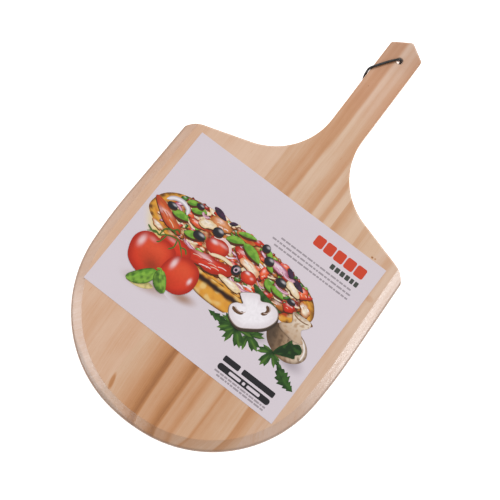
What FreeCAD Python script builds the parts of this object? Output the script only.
import FreeCAD, Part
import math
import os

V = FreeCAD.Vector

# Pizza peel: a flat wooden board of edge-glued planks, a leather hanging cord tied
# through the handle, and a paper label on the blade.  All lengths are in millimetres.
# Board frame: x across the board, y from the front tip towards the handle's end,
# z = 0 on the underside.

# Board
BLADE_WIDTH = 307.4
LENGTH = 535.2
THICKNESS = 12.0
TIP_RADIUS = 200.0         # slightly flattened front
BLADE_RADIUS = 146.3       # round sides of the front
SIDE_RADIUS = 565.0        # the sides bulge slightly where the blade is widest
SIDE_SWING = 4.9           # degrees of that bulge in front of the widest place
SIDE_TAPER = 1.64          # degrees: the blade narrows a little towards the shoulders
CORNER_Y = 297.0           # where the straight side meets the shoulder
CORNER_START = 58.0        # degrees from x: direction in which the shoulder leaves the corner
SHOULDER_RADIUS = 34.0
SHOULDER_SLOPE = 17.0      # degrees from x: straight stretch of the shoulder
NECK_RADIUS = 80.5
HANDLE_WIDTH = 42.8
END_SLOPE = 33.0           # degrees: the two flats of the handle's pointed end
END_RADIUS = 5.0           # rounds the point and the two corners of the end
BEVEL_WIDTH = 13.0         # round the front and both sides, seen from above
BEVEL_ANGLE = 24.0         # degrees down from the top face
BEVEL_ROUNDING = 4.0       # turns the bevel down into the blade's side
ROUNDING_FACETS = 4
SIDE_RUN_OUT = 60.0        # the side cutters run on this far past the shoulder's corner
EDGE_RADIUS = 2.2          # eased edges of shoulders, neck and handle
BASE_EASE = 1.0            # small chamfer round the blade's underside

# Hanging hole, on the centre line
HOLE_RADIUS = 3.75
HOLE_Y = 507.5
HOLE_EASE = 0.6

# Glue lines: x of each joint between planks
PLANKS = {
    "plank_left": (-BLADE_WIDTH, -41.5),
    "plank_centre_with_handle": (-41.5, 50.5),
    "plank_right_inner": (50.5, 110.0),
    "plank_right_outer": (110.0, BLADE_WIDTH),
}

# Paper label, lying flat on the blade, a little askew
LABEL_SIZE = (256.8, 208.5)
LABEL_CENTRE = (-1.7, 196.5)
LABEL_TURN = -0.83         # degrees
LABEL_THICKNESS = 0.3

# The board rests on its front edge and on the cord's knot under the handle
TILT = 0.9                 # degrees

# Hanging cord, in the row frame.  It leaves the knot, runs back under the handle, comes
# up through the hole, crosses the handle's face, goes round its left edge and returns.
CORD_RADIUS = 1.4
CORD_POINTS = [
    (3.5, 184.4, 3.5),
    (3.5, 187.2, 3.5),
    (4.2, 191.6, 2.6),
    (5.6, 199.0, 1.5),
    (6.0, 210.4, 1.5),
    (4.6, 222.0, 1.5),
    (2.8, 231.6, 1.8),
    (1.8, 238.0, 3.6),
    (1.4, 240.8, 7.8),
    (1.3, 241.2, 13.2),
    (1.4, 241.3, 19.4),
    (-0.7, 240.6, 22.3),
    (-4.6, 237.1, 21.5),
    (-10.6, 229.6, 21.35),
    (-16.8, 220.4, 21.1),
    (-20.6, 214.8, 21.3),
    (-23.2, 211.2, 18.8),
    (-23.4, 207.6, 13.0),
    (-23.0, 204.0, 7.8),
    (-20.7, 200.6, 4.0),
    (-16.4, 197.4, 1.9),
    (-10.6, 194.3, 1.5),
    (-4.8, 192.0, 1.9),
    (-0.9, 189.6, 2.9),
    (0.5, 187.0, 3.5),
    (0.5, 184.4, 3.5),
]
ARC_SHARE = 0.45           # share of the shorter run that each arc may take

# Knot of the two cord ends, and its place under the handle
KNOT_SIZE = (10.0, 11.0, 6.9)
KNOT_ROUNDING = 1.9
KNOT_FACE_Y = 184.4        # the flat face that both strands leave from
KNOT_X = 2.0


def turned(angle):
    """Unit vector at angle degrees from +x towards +y."""
    return V(math.cos(math.radians(angle)), math.sin(math.radians(angle)), 0)


def arc(centre, radius, start, end):
    """Arc about centre from the start to the end angle, in degrees."""
    places = [centre + turned(a) * radius for a in (start, (start + end) / 2, end)]
    return Part.Arc(*places).toShape()


def blade_arcs():
    """Centre, radius, start and end of each arc from the tip to the right side's straight.

    Each arc touches the next, so their centres lie in line with the place they share."""
    apart = SIDE_RADIUS - BLADE_RADIUS
    side_x = BLADE_WIDTH / 2 - SIDE_RADIUS
    blade_x = side_x + apart * math.cos(math.radians(SIDE_SWING))
    swing = math.degrees(math.asin(blade_x / (TIP_RADIUS - BLADE_RADIUS)))
    tip_centre = V(0, TIP_RADIUS, 0)
    blade_centre = tip_centre + turned(swing - 90) * (TIP_RADIUS - BLADE_RADIUS)
    side_centre = blade_centre - turned(-SIDE_SWING) * apart
    return [
        (tip_centre, TIP_RADIUS, -90, swing - 90),
        (blade_centre, BLADE_RADIUS, swing - 90, -SIDE_SWING),
        (side_centre, SIDE_RADIUS, -SIDE_SWING, SIDE_TAPER),
    ]


def right_corner():
    """The blunt corner where the right side meets the shoulder, and the side's start."""
    centre, radius, _, end = blade_arcs()[-1]
    start = centre + turned(end) * radius
    run = (CORNER_Y - start.y) / math.cos(math.radians(SIDE_TAPER))
    return start, start + turned(90 + SIDE_TAPER) * run


def right_half():
    """Edges of the outline's right half, from the front tip to the handle's point."""
    side_start, corner = right_corner()
    shoulder_centre = corner - turned(90 - CORNER_START) * SHOULDER_RADIUS
    normal = turned(90 - SHOULDER_SLOPE)
    shoulder_end = shoulder_centre + normal * SHOULDER_RADIUS
    # The neck arc touches both the shoulder's straight line and the handle's side.
    neck_x = HANDLE_WIDTH / 2 + NECK_RADIUS
    neck_y = (shoulder_end.dot(normal) + NECK_RADIUS - neck_x * normal.x) / normal.y
    neck_centre = V(neck_x, neck_y, 0)
    # The end's flats meet at a point which END_RADIUS rounds down to LENGTH.
    slope = math.radians(END_SLOPE)
    point_centre = V(0, LENGTH - END_RADIUS, 0)
    corner_x = HANDLE_WIDTH / 2 - END_RADIUS
    corner_centre = point_centre + V(corner_x, -corner_x * math.tan(slope), 0)
    pieces = [arc(*places) for places in blade_arcs()]
    pieces += [
        Part.makeLine(side_start, corner),
        arc(shoulder_centre, SHOULDER_RADIUS, 90 - CORNER_START, 90 - SHOULDER_SLOPE),
        Part.makeLine(shoulder_end, neck_centre - normal * NECK_RADIUS),
        arc(neck_centre, NECK_RADIUS, 270 - SHOULDER_SLOPE, 180),
        Part.makeLine(neck_centre - V(NECK_RADIUS, 0, 0), corner_centre + V(END_RADIUS, 0, 0)),
        arc(corner_centre, END_RADIUS, 0, 90 - END_SLOPE),
    ]
    flat = turned(90 - END_SLOPE) * END_RADIUS
    pieces.append(Part.makeLine(corner_centre + flat, point_centre + flat))
    pieces.append(arc(point_centre, END_RADIUS, 90 - END_SLOPE, 90))
    return pieces


def mirrored(shape):
    """The same shape on the other side of the board's centre plane."""
    return shape.mirror(V(0, 0, 0), V(1, 0, 0))


def top_bevel(edge_x):
    """Outline in the x-z plane of what the bevel takes off an edge at x = edge_x.

    A long slope, then narrow facets that turn steeper down to the side."""
    past = 1.0
    slope = math.radians(BEVEL_ANGLE)
    inner_x = edge_x - BEVEL_WIDTH
    centre_x = edge_x - BEVEL_ROUNDING
    slope_z = THICKNESS - (centre_x - inner_x) * math.tan(slope)
    centre_z = slope_z - BEVEL_ROUNDING / math.cos(slope)
    top = THICKNESS + past
    points = [V(edge_x + past, 0, top), V(inner_x - past / math.tan(slope), 0, top)]
    for step in range(ROUNDING_FACETS + 1):
        angle = math.radians(90 - BEVEL_ANGLE) * (1 - step / ROUNDING_FACETS)
        reach = V(math.cos(angle), 0, math.sin(angle)) * BEVEL_ROUNDING
        points.append(V(centre_x, 0, centre_z) + reach)
    last = points[-1] - points[-2]
    points.append(points[-1] + last * (past / last.x))
    return Part.Face(Part.makePolygon(points + points[:1]))


def base_chamfer(edge_x):
    """Triangle over the underside's corner at edge_x, and a little past it."""
    past = 1.0
    inner = V(edge_x - BASE_EASE - past, 0, -past)
    under = V(edge_x + past, 0, -past)
    beside = V(edge_x + past, 0, BASE_EASE + past)
    return Part.Face(Part.makePolygon([inner, under, beside, inner]))


def arc_cutter(profile_at, centre, radius, start, end):
    """Cutter for an edge profile along an arc of the outline."""
    profile = profile_at(radius)
    profile.rotate(V(0, 0, 0), V(0, 0, 1), start)
    profile.translate(centre)
    return profile.revolve(centre, V(0, 0, 1), end - start)


def side_cutter(profile_at):
    """The same along the right side, run out past the shoulder's corner."""
    start, corner = right_corner()
    profile = profile_at(0)
    profile.rotate(V(0, 0, 0), V(0, 0, 1), SIDE_TAPER)
    profile.translate(start)
    return profile.extrude(turned(90 + SIDE_TAPER) * ((corner - start).Length + SIDE_RUN_OUT))


def bevelled(board, profile_at):
    """The board with an edge cut along the front and both sides of the blade."""
    (centre, radius, middle, end), *side_arcs = blade_arcs()
    board = board.cut(arc_cutter(profile_at, centre, radius, 2 * middle - end, end))
    cutters = [arc_cutter(profile_at, *places) for places in side_arcs]
    for cutter in cutters + [side_cutter(profile_at)]:
        board = board.cut(cutter).cut(mirrored(cutter))
    return board.removeSplitter()


def eased(board):
    """The board with the edges of its shoulders, neck and handle rounded."""
    corner = right_corner()[1]

    def lies_at(edge, height):
        return all(abs(v.Z - height) < 1e-6 for v in edge.Vertexes)

    # The bevel's run-out across the shoulder is a sloping edge and stays crisp.
    chosen = [
        e for e in board.Edges
        if e.CenterOfMass.y > corner.y
        and abs(e.CenterOfMass.x) < BLADE_WIDTH / 2 - BEVEL_WIDTH
        and (lies_at(e, 0) or lies_at(e, THICKNESS))
    ]
    return board.makeFillet(EDGE_RADIUS, chosen)


def hanging_hole():
    """Cutter for the hole, with a small countersink at each mouth."""
    wide = HOLE_RADIUS + HOLE_EASE
    cutter = Part.makeCylinder(HOLE_RADIUS, THICKNESS + 2, V(0, HOLE_Y, -1))
    low = Part.makeCone(wide, HOLE_RADIUS, HOLE_EASE, V(0, HOLE_Y, 0))
    top = Part.makeCone(HOLE_RADIUS, wide, HOLE_EASE, V(0, HOLE_Y, THICKNESS - HOLE_EASE))
    return cutter.fuse([low, top])


def whole_board():
    """The board in one piece, before it is divided at the glue lines."""
    right = right_half()
    edges = right + [mirrored(e) for e in right]
    outline = Part.Wire(Part.__sortEdges__(edges))
    board = Part.Face(outline).extrude(V(0, 0, THICKNESS))
    board = eased(bevelled(board, top_bevel))
    return bevelled(board, base_chamfer).cut(hanging_hole())


def laid_down(shape):
    """Moves a shape from the board frame to the row frame: tilted, and centred in y."""
    placed = shape.copy()
    placed.rotate(V(0, 0, 0), V(1, 0, 0), TILT)
    placed.translate(V(0, -LENGTH * math.cos(math.radians(TILT)) / 2, 0))
    return placed


def plank(board, low_x, high_x):
    """The part of the board between two glue lines."""
    slab = Part.makeBox(high_x - low_x, 2 * LENGTH, 4 * THICKNESS, V(low_x, -LENGTH / 2, -THICKNESS))
    return board.common(slab)


def label():
    """The paper sheet on the blade."""
    width, height = LABEL_SIZE
    sheet = Part.makeBox(width, height, LABEL_THICKNESS, V(-width / 2, -height / 2, 0))
    sheet.rotate(V(0, 0, 0), V(0, 0, 1), LABEL_TURN)
    sheet.translate(V(LABEL_CENTRE[0], LABEL_CENTRE[1], THICKNESS))
    return sheet


def rounded_path(points):
    """Straight runs joined by tangent arcs, as large as the runs allow, and the radii."""
    points = [V(*p) for p in points]
    edges, radii = [], []
    last = points[0]
    for before, here, after in zip(points, points[1:], points[2:]):
        into = (here - before).normalize()
        out = (after - here).normalize()
        half_turn = into.getAngle(out) / 2
        reach = ARC_SHARE * min((here - before).Length, (after - here).Length)
        radius = reach / math.tan(half_turn)
        start, end = here - into * reach, here + out * reach
        inward = (out - into).normalize()
        middle = here + inward * (radius / math.cos(half_turn) - radius)
        edges.append(Part.LineSegment(last, start).toShape())
        edges.append(Part.Arc(start, middle, end).toShape())
        radii.append(radius)
        last = end
    edges.append(Part.LineSegment(last, points[-1]).toShape())
    return Part.Wire(edges), radii


def hang_cord():
    """The cord's tube, from the knot through the hole and back to the knot."""
    path, radii = rounded_path(CORD_POINTS)
    start = V(*CORD_POINTS[0])
    ring = Part.Wire(Part.makeCircle(CORD_RADIUS, start, V(*CORD_POINTS[1]) - start))
    tube = path.makePipeShell([ring], True, False)
    ideal = math.pi * CORD_RADIUS ** 2 * path.Length
    print("cord length %.1f, volume %.1f against %.1f" % (path.Length, tube.Volume, ideal))
    print("cord radii", " ".join("%.1f" % r for r in radii))
    return tube


def cord_knot():
    """Outer shape of the overhand knot that ties the cord's two ends."""
    wide, long, high = KNOT_SIZE
    block = Part.makeBox(wide, long, high, V(KNOT_X - wide / 2, KNOT_FACE_Y - long, 0))
    return block.makeFillet(KNOT_ROUNDING, block.Edges)


def main():
    os.makedirs("parts", exist_ok=True)
    board = whole_board()
    nodes = {name: laid_down(plank(board, *span)) for name, span in PLANKS.items()}
    nodes["paper_label"] = laid_down(label())
    nodes["hang_cord"] = hang_cord()
    nodes["cord_knot"] = cord_knot()
    for name, shape in nodes.items():
        box = shape.BoundBox
        print("%-26s valid %s solids %d volume %.0f  x %.2f..%.2f y %.2f..%.2f z %.2f..%.2f" % (
            name, shape.isValid(), len(shape.Solids), shape.Volume,
            box.XMin, box.XMax, box.YMin, box.YMax, box.ZMin, box.ZMax))
        shape.exportStep("parts/%s.step" % name)


main()
